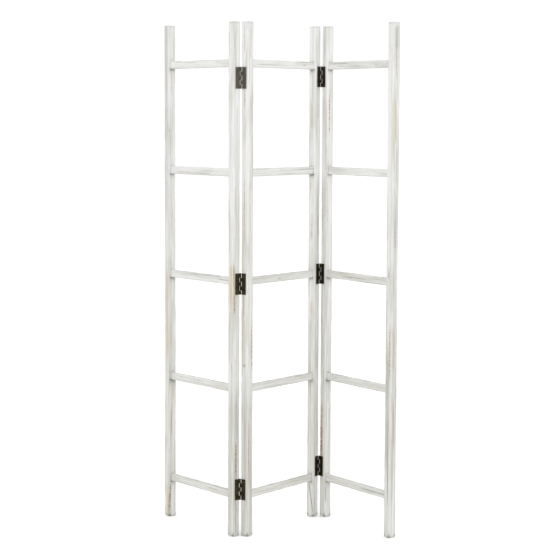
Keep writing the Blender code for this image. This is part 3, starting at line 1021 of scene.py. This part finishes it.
@dataclass
class Rung(Timber):
    """A flat rung whose ends are housed in the posts."""

    half_width: float = 13.0 * MM  # its own X is up when it lies in its panel
    half_depth: float = 6.0 * MM
    length: float = 0.364
    easing: float = 1.2 * MM
    housed: float = 10.0 * MM  # how much of each end is inside a post
    scattered: tuple[int, float] = (22, 0.85)  # how many small streaks, and how strong

    def pattern(self) -> Piece:
        """Shapes the rung that all fifteen are copied from, its grain along Z.

        Returns:
            The rung, standing on end at the origin.
        """
        rung = Bench.block("rung_pattern", (-self.half_width, -self.half_depth, 0.0),
                           (self.half_width, self.half_depth, self.length))
        with Bench.opened(rung, "EDGE"):
            Bench.pick_edges(rung, lambda _, run: abs(run.z) > 0.5 * self.length)
            bpy.ops.mesh.bevel(offset=self.easing, segments=3, profile=0.5, affect="EDGES")
        self.weave(rung)
        return rung

    def make(self, pattern: Piece, node: str, seed: int) -> Piece:
        """Copies the pattern and gives the copy its own relief, grain, wear and painted shade along its
        underside.

        Args:
            pattern: the rung that is copied.
            node: the CAD node that this rung stands for.
            seed: its number.

        Returns:
            The rung standing on its left end at the origin.
        """
        rung = Bench.copy_of(pattern, f"{node}_timber")
        points = self.points(rung)
        open_part = self.end_distance(points) - self.housed
        self.weather(rung, seed, np.clip(open_part / (4.0 * MM), 0.0, 1.0))
        points = self.points(rung)
        grime = 0.22 * np.exp(-np.abs(self.end_distance(points) - self.housed) / (1.5 * MM))
        # Painted shade along the rung's underside and lower arris, patchy along its length; the top face gets
        # patchy dust.
        under = np.clip(-points[:, 0] / MM - 10.0, 0.0, 2.0) / 2.0
        over = np.clip(points[:, 0] / MM - 11.0, 0.0, 1.5) / 1.5
        waves = (points[:, 2] / (31.0 * MM) + seed, points[:, 2] / (13.0 * MM) + 2 * seed)
        patchy = 0.5 + 0.5 * np.sin(waves[0]) * np.sin(waves[1])
        grime = np.maximum(grime, (0.30 + 0.30 * patchy) * under)
        grime = np.maximum(grime, 0.45 * patchy * over)
        self.record_grain(rung, seed, self.chance_streaks(seed, *self.scattered), grime)
        return Bench.smooth(rung, 40.0)


# ---------------------------------------------------------------------------------------------------
# Ironmongery
# ---------------------------------------------------------------------------------------------------


@dataclass
class ButtHinge:
    """A five-knuckle butt hinge. Its own frame has the pin along Z and a leaf's plate along +X."""

    height: float = 70.0 * MM
    reach: float = 20.0 * MM
    thickness: float = 1.2 * MM
    bore: float = 1.5 * MM
    pin_radius: float = 1.2 * MM
    knuckles: int = 5
    knuckle_gap: float = 0.5 * MM
    slit: float = 0.6 * MM  # between a knuckle and the other leaf's plate
    screw_hole: float = 1.8 * MM
    sink: float = 2.7 * MM
    screw_points: tuple[tuple[float, float], ...] = (
        (10.0 * MM, -24.0 * MM), (14.5 * MM, 0.0), (10.0 * MM, 24.0 * MM),
    )
    edge: float = 0.13 * MM
    corner: float = 0.8 * MM  # rounding of a plate's free corners
    pin_tip: float = 0.6 * MM  # below the lowest knuckle
    pin_seat: float = 0.3 * MM  # from the top knuckle up to the pin's head
    shank_radius: float = 1.0 * MM
    shank_length: float = 9.0 * MM  # in the wood, before the point
    point_length: float = 1.5 * MM
    slot: tuple[float, float] = (1.5 * MM, 0.24 * MM)  # half its length and half its width
    slot_depth: float = 0.45 * MM
    overrun: float = 2.0 * MM

    @property
    def barrel(self) -> float:
        """Outer radius of the knuckles."""
        return self.bore + self.thickness

    def leaf(self, kind: Leaf) -> Piece:
        """Shapes a leaf: a plate rolled into knuckles, notched and countersunk.

        Args:
            kind: which of the two leaves.

        Returns:
            The leaf in the hinge's frame, its screw heads on the +Y side.
        """
        half = self.height / 2
        leaf = Bench.block(f"{kind.name.lower()}_leaf_pattern", (0.0, -self.barrel, -half),
                           (self.reach, -self.bore, half))
        with Bench.opened(leaf, "EDGE"):
            Bench.pick_edges(leaf, lambda middle, run: middle.x > self.reach - MM and abs(run.y) > 0.5 * MM)
            bpy.ops.mesh.bevel(offset=self.corner, segments=4, affect="EDGES")
        Bench.shape_with(leaf, Bench.rod("barrel", self.barrel, -half, half, 40), "UNION")
        Bench.shape_with(leaf, Bench.rod("bore", self.bore, -half - MM, half + MM, 32))
        knuckle = self.height / self.knuckles
        for index in kind.value:
            low = index * knuckle - half - self.knuckle_gap / 2
            high = low + knuckle + self.knuckle_gap
            low -= self.overrun if index == 0 else 0.0
            high += self.overrun if index == self.knuckles - 1 else 0.0
            side = self.barrel + self.overrun
            Bench.shape_with(leaf, Bench.block("notch", (-side, -side, low),
                                               (self.barrel + self.slit, side, high)))
        for reach, height in self.screw_points:
            Bench.shape_with(leaf, self._sinker(reach, height))
        Bench.refine(leaf, "BEVEL", width=self.edge, segments=2, limit_method="ANGLE",
                     angle_limit=math.radians(35.0), harden_normals=False)
        return Bench.smooth(leaf, 32.0)

    def _sinker(self, reach: float, height: float) -> Piece:
        """Shapes the cutter of one countersunk hole."""
        slope = self.sink - self.screw_hole
        cutter = Bench.rod("sinker", self.screw_hole, -self.barrel - self.overrun, -self.bore - slope / 2)
        cone = Bench.taper("sinker_cone", (self.screw_hole, self.sink + self.overrun), -self.bore - slope,
                           -self.bore + self.overrun)
        Bench.shape_with(cutter, cone, "UNION")
        return Bench.settle(cutter, self._along_normal(reach, height))

    @staticmethod
    def _along_normal(reach: float, height: float) -> Matrix:
        """Turns a tool's Z onto a leaf's outward side, at one screw."""
        return Matrix.Translation((reach, 0.0, height)) @ Matrix.Rotation(-math.pi / 2, 4, "X")

    def pin(self) -> Piece:
        """Shapes the pin: a rounded tip, a shank and a domed head above the top knuckle.

        Returns:
            The pin in the hinge's frame.
        """
        half = self.height / 2
        pin = Bench.rod("pin_pattern", self.pin_radius, -half - self.pin_tip, half + self.pin_seat, 28)
        with Bench.opened(pin, "EDGE"):
            Bench.pick_edges(pin, lambda middle, run: middle.z < -half and abs(run.z) < TINY)
            bpy.ops.mesh.bevel(offset=0.5 * MM, segments=3, affect="EDGES")
        with Bench.opened(pin, "FACE"):
            Bench.pick_faces(pin, lambda _, normal: normal.z > 0.99)
            head = ((0.0, 2.2 / 1.2), (0.5 * MM, 1.0), (0.25 * MM, 0.88), (0.15 * MM, 0.72), (0.1 * MM, 0.45))
            Bench.grow(head)
        return Bench.smooth(pin, 32.0)

    def screws(self) -> Piece:
        """Shapes a leaf's three screws: countersunk heads with a cross slot, and shanks.

        Returns:
            The screws in the hinge's frame, as one piece.
        """
        gap = 0.1 * MM
        slope = self.sink - self.screw_hole
        screw = Bench.rod("screw_pattern", self.shank_radius, -self.barrel - self.shank_length,
                          -self.bore - slope + gap, 24)
        with Bench.opened(screw, "FACE"):
            Bench.pick_faces(screw, lambda _, normal: normal.z > 0.99)
            neck = (self.screw_hole - gap) / self.shank_radius
            Bench.grow(((0.0, 1.0), (0.0, neck), (slope - 0.1 * MM, 1.5)))
            Bench.grow(((0.14 * MM, 0.86), (0.06 * MM, 0.6)))
            Bench.pick_faces(screw, lambda _, normal: normal.z < -0.99)
            Bench.grow(((-self.point_length, 0.2),))
        for long_x, long_y in (self.slot, self.slot[::-1]):
            Bench.shape_with(screw, Bench.block("slot", (-long_x, -long_y, -self.bore - self.slot_depth),
                                                (long_x, long_y, -self.bore + MM)))
        made = []
        for number, (reach, height) in enumerate(self.screw_points):
            one = Bench.copy_of(screw, f"screw_{number}")
            turn = Matrix.Rotation(math.radians(17.0 + 31.0 * number), 4, "Z")
            made.append(Bench.settle(one, self._along_normal(reach, height) @ turn))
        Bench.discard(screw)
        return Bench.smooth(Bench.joined("screws_pattern", made), 30.0)


# ---------------------------------------------------------------------------------------------------
# Sub-assemblies
# ---------------------------------------------------------------------------------------------------


@dataclass
class LadderPanel:
    """One ladder of the screen: two posts and five rungs, found from its posts' feet."""

    name: str
    body: str
    post_nodes: tuple[str, str]
    finishes: Finishes
    first_seed: int
    rungs: int = RUNGS

    def __post_init__(self) -> None:
        """Reads the panel's place from the feet of its posts."""
        mounts = {mount["name"]: Vector(mount["pos_m"]) for mount in frame["record"]["mounts"]}
        self.feet = [mounts[node.replace("_post", "_foot")] for node in self.post_nodes]
        self.along = (self.feet[1] - self.feet[0]).normalized()
        self.back = UP.cross(self.along)

    def place(self, origin: Vector) -> Matrix:
        """Places the panel's frame at a point."""
        turn = Matrix((self.along, self.back, UP)).transposed()
        return Matrix.Translation(origin) @ turn.to_4x4()

    def rung_node(self, number: int) -> str:
        """Names the CAD node of one rung, counted from 1 at the bottom."""
        return f"{self.name}_rung_{number}"

    def build(self, post: Post, post_pattern: Piece, rung: Rung, rung_pattern: Piece) -> None:
        """Builds and dresses the panel.

        Args:
            post: the sizes of a post.
            post_pattern: the post that is copied.
            rung: the sizes of a rung.
            rung_pattern: the rung that is copied.
        """
        for number, (node, side, foot) in enumerate(zip(self.post_nodes, Side, self.feet)):
            piece = post.make(post_pattern, node, side, self.first_seed + number)
            Bench.settle(piece, self.place(foot))
            dress(piece, self.finishes.post, self.body, node)
        # A rung stands on end while it is made, so it is laid down with its own Z along the panel.
        lay = Matrix(((0.0, 0.0, 1.0), (0.0, 1.0, 0.0), (-1.0, 0.0, 0.0))).to_4x4()
        flip = Matrix.Rotation(math.pi, 4, "Z")
        for number in range(1, self.rungs + 1):
            node = self.rung_node(number)
            low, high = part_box(node)
            piece = rung.make(rung_pattern, node, self.first_seed + 10 + number)
            middle = (self.feet[0] + self.feet[1]) / 2
            start = middle - self.along * (rung.length / 2)
            start.z = (low.z + high.z) / 2
            Bench.settle(piece, self.place(start) @ lay @ flip)
            dress(piece, self.finishes.rung, self.body, node)


@dataclass
class HingeLine:
    """The three hinges that join an outer panel to the middle one."""

    name: str
    joint: str
    outer: LadderPanel
    middle: LadderPanel
    outer_way: tuple[tuple[int, int], tuple[int, int]]  # plate and face, in the outer panel's X and Y
    middle_way: tuple[tuple[int, int], tuple[int, int]]
    finishes: Finishes
    dust_and_sheen: dict[str, float]  # how much dust and painted sheen pale the hinge at each level, from 0 to 1

    def leaf_place(self, panel: LadderPanel, way: tuple[tuple[int, int], tuple[int, int]],
                   height: float) -> Matrix:
        """Places a hinge's frame for the leaf on one panel.

        Args:
            panel: the panel that the leaf is screwed to.
            way: where the plate runs and where its outer face looks, in the panel's X and Y.
            height: the hinge's middle above the floor.

        Returns:
            The place of the hinge's frame.
        """
        plate, normal = (panel.along * x + panel.back * y for x, y in way)
        turn = Matrix((plate, normal, plate.cross(normal))).transposed()
        axis = next(joint for joint in frame["joints"] if joint["name"] == self.joint)["pos_m"]
        return Matrix.Translation((axis[0], axis[1], height)) @ turn.to_4x4()

    def build(self, leaves: dict[Leaf, Piece], pin: Piece, screws: Piece) -> None:
        """Builds and dresses the line.

        Args:
            leaves: the two leaves that are copied.
            pin: the pin that is copied.
            screws: the set of three screws that is copied.
        """
        sides = ((Leaf.OUTER, self.outer, self.outer_way), (Leaf.INNER, self.middle, self.middle_way))
        for level, dust_and_sheen in self.dust_and_sheen.items():
            hinge = f"{self.name}_{level}_hinge"
            low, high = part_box(f"{hinge}_outer_leaf")
            height = (low.z + high.z) / 2
            for kind, panel, way in sides:
                node = f"{hinge}_{kind.name.lower()}_leaf"
                place = self.leaf_place(panel, way, height)
                plate = Bench.settle(Bench.copy_of(leaves[kind], f"{node}_plate"), place)
                self._dust_and_sheen(plate, dust_and_sheen)
                dress(plate, self.finishes.leaf, panel.body, node)
                fixings = Bench.settle(Bench.copy_of(screws, f"{node}_screws"), place)
                self._dust_and_sheen(fixings, dust_and_sheen)
                dress(fixings, self.finishes.screw, panel.body, None)
            axis = self.leaf_place(self.outer, self.outer_way, height).translation
            rod = Bench.settle(Bench.copy_of(pin, f"{hinge}_pin_rod"), Matrix.Translation(axis))
            self._dust_and_sheen(rod, dust_and_sheen)
            dress(rod, self.finishes.pin, self.outer.body, f"{hinge}_pin")

    @staticmethod
    def _dust_and_sheen(piece: Piece, amount: float) -> None:
        """Writes how much dust and painted sheen pale a piece, for its finish to read."""
        made = piece.data.attributes.new("dust_and_sheen", "FLOAT", "POINT")
        made.data.foreach_set("value", [amount] * len(piece.data.vertices))


def dress(piece: Piece, finish: bpy.types.Material, body: str, node: str | None) -> None:
    """Gives a finished piece its material and its place in the frame.

    Args:
        piece: the piece, its place in its mesh.
        finish: its material.
        body: the CAD body that it moves with.
        node: the CAD node that it stands for, if any.
    """
    piece.data.materials.clear()
    piece.data.materials.append(finish)
    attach(piece, body)
    if node is not None:
        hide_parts(node)
    LOG.info("%s: %d faces, on %s", piece.name, len(piece.data.polygons), body)


# ---------------------------------------------------------------------------------------------------
# Studio
# ---------------------------------------------------------------------------------------------------


@dataclass
class Studio:
    """A plain pale floor, soft light and the camera."""

    camera_place: tuple[float, float, float] = (0.0138, -5.9422, 1.3931)
    camera_yaw: float = 0.00127  # to the left, in radians
    camera_pitch: float = 0.0921  # downwards
    camera_roll: float = 0.0042
    lens: float = 113.75
    floor_size: float = 60.0
    backdrop: float = 1.06  # brightness of the white behind the screen
    dome: float = 0.40  # brightness of the room's even light
    glow: float = 1.12  # how much brighter the front of the ceiling is
    glow_towards: tuple[float, float, float] = (0.0, -0.25, 0.968)
    key_place: tuple[float, float, float] = (0.15, -2.6, 3.1)
    key_target: tuple[float, float, float] = (0.0, 0.0, 1.3)
    key_size: float = 2.2
    key_power: float = 13.0

    def build(self) -> None:
        """Lays the floor, hangs the lights and sets the camera."""
        bpy.ops.mesh.primitive_plane_add(size=self.floor_size)
        floor = Bench.name_new("studio_floor")
        floor.data.materials.append(PaleFloor().material())
        self._dome()
        self._key()
        self._camera()
        bpy.context.scene.view_settings.view_transform = "Standard"

    def _dome(self) -> None:
        """Fills the room with soft white light, brightest from above the front."""
        world = bpy.data.worlds.new("white_room")
        world.use_nodes = True
        tree = world.node_tree
        nodes = {
            "way": tree.nodes.new("ShaderNodeTexCoord"),
            "facing": tree.nodes.new("ShaderNodeVectorMath"),
            "glow": tree.nodes.new("ShaderNodeMapRange"),
            "ray": tree.nodes.new("ShaderNodeLightPath"),
            "choice": tree.nodes.new("ShaderNodeMix"),
        }
        nodes["facing"].operation = "DOT_PRODUCT"
        nodes["facing"].inputs[1].default_value = self.glow_towards
        nodes["glow"].interpolation_type = "SMOOTHSTEP"
        for key, value in (("From Min", 0.1), ("From Max", 1.0), ("To Min", self.dome),
                           ("To Max", self.dome + self.glow)):
            nodes["glow"].inputs[key].default_value = value
        nodes["choice"].inputs["B"].default_value = self.backdrop
        background = tree.nodes["Background"]
        background.inputs["Color"].default_value = (1.0, 1.0, 1.0, 1.0)
        for start, end in (
            (nodes["way"].outputs["Generated"], nodes["facing"].inputs[0]),
            (nodes["facing"].outputs["Value"], nodes["glow"].inputs["Value"]),
            (nodes["ray"].outputs["Is Camera Ray"], nodes["choice"].inputs["Factor"]),
            (nodes["glow"].outputs["Result"], nodes["choice"].inputs["A"]),
            (nodes["choice"].outputs["Result"], background.inputs["Strength"]),
        ):
            tree.links.new(start, end)
        bpy.context.scene.world = world

    def _key(self) -> None:
        """Hangs the large soft light above the front of the screen."""
        lamp = bpy.data.lights.new("key_softbox", "AREA")
        lamp.shape = "SQUARE"
        lamp.size = self.key_size
        lamp.energy = self.key_power
        hung = bpy.data.objects.new("key_softbox", lamp)
        bpy.context.scene.collection.objects.link(hung)
        hung.location = self.key_place
        aim = Vector(self.key_target) - Vector(self.key_place)
        hung.rotation_euler = aim.to_track_quat("-Z", "Y").to_euler()

    def _camera(self) -> None:
        """Sets the camera in front of the screen, a little below the tops of its posts."""
        lens = bpy.data.cameras.new("studio_camera")
        lens.sensor_width = 36.0
        lens.lens = self.lens
        lens.clip_end = 200.0
        camera = bpy.data.objects.new("studio_camera", lens)
        bpy.context.scene.collection.objects.link(camera)
        turn = Matrix.Rotation(self.camera_yaw, 4, "Z")
        tilt = Matrix.Rotation(math.pi / 2 - self.camera_pitch, 4, "X")
        roll = Matrix.Rotation(self.camera_roll, 4, "Z")
        camera.matrix_world = Matrix.Translation(self.camera_place) @ turn @ tilt @ roll
        bpy.context.scene.camera = camera


def main() -> None:
    """Builds the screen: its timber, its three panels, its two lines of hinges and the studio."""
    logging.basicConfig(level=logging.INFO, format="%(message)s")
    finishes = Finishes.mixed()

    boxes = [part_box(f"middle_rung_{number}") for number in range(1, RUNGS + 1)]
    spans = [(low.z, high.z) for low, high in boxes]
    post = Post(rung_spans=spans)
    post_pattern = post.pattern()
    rung = Rung()
    rung_pattern = rung.pattern()

    left = LadderPanel("left", "left_panel", ("left_outer_post", "left_hinge_post"), finishes, 1)
    middle = LadderPanel("middle", "middle_panel", ("middle_left_post", "middle_right_post"), finishes, 21)
    right = LadderPanel("right", "right_panel", ("right_hinge_post", "right_outer_post"), finishes, 41)
    for panel in (left, middle, right):
        panel.build(post, post_pattern, rung, rung_pattern)
    Bench.discard(post_pattern)
    Bench.discard(rung_pattern)

    hinge = ButtHinge()
    leaves = {kind: hinge.leaf(kind) for kind in Leaf}
    pin = hinge.pin()
    screws = hinge.screws()
    # On the left line the leaves lie between the posts; on the right line, on the posts' front faces.
    # The top hinges are paled most, partly by dust and partly by a painted sheen.
    lines = (
        HingeLine("left", "left_fold", left, middle, ((0, -1), (1, 0)), ((0, -1), (-1, 0)), finishes,
                  {"low": 0.0, "mid": 0.05, "top": 0.75}),
        HingeLine("right", "right_fold", right, middle, ((1, 0), (0, -1)), ((-1, 0), (0, -1)), finishes,
                  {"low": 0.0, "mid": 0.05, "top": 0.22}),
    )
    for line in lines:
        line.build(leaves, pin, screws)
    for pattern in (*leaves.values(), pin, screws):
        Bench.discard(pattern)

    Studio().build()


if __name__ == "__main__":
    main()
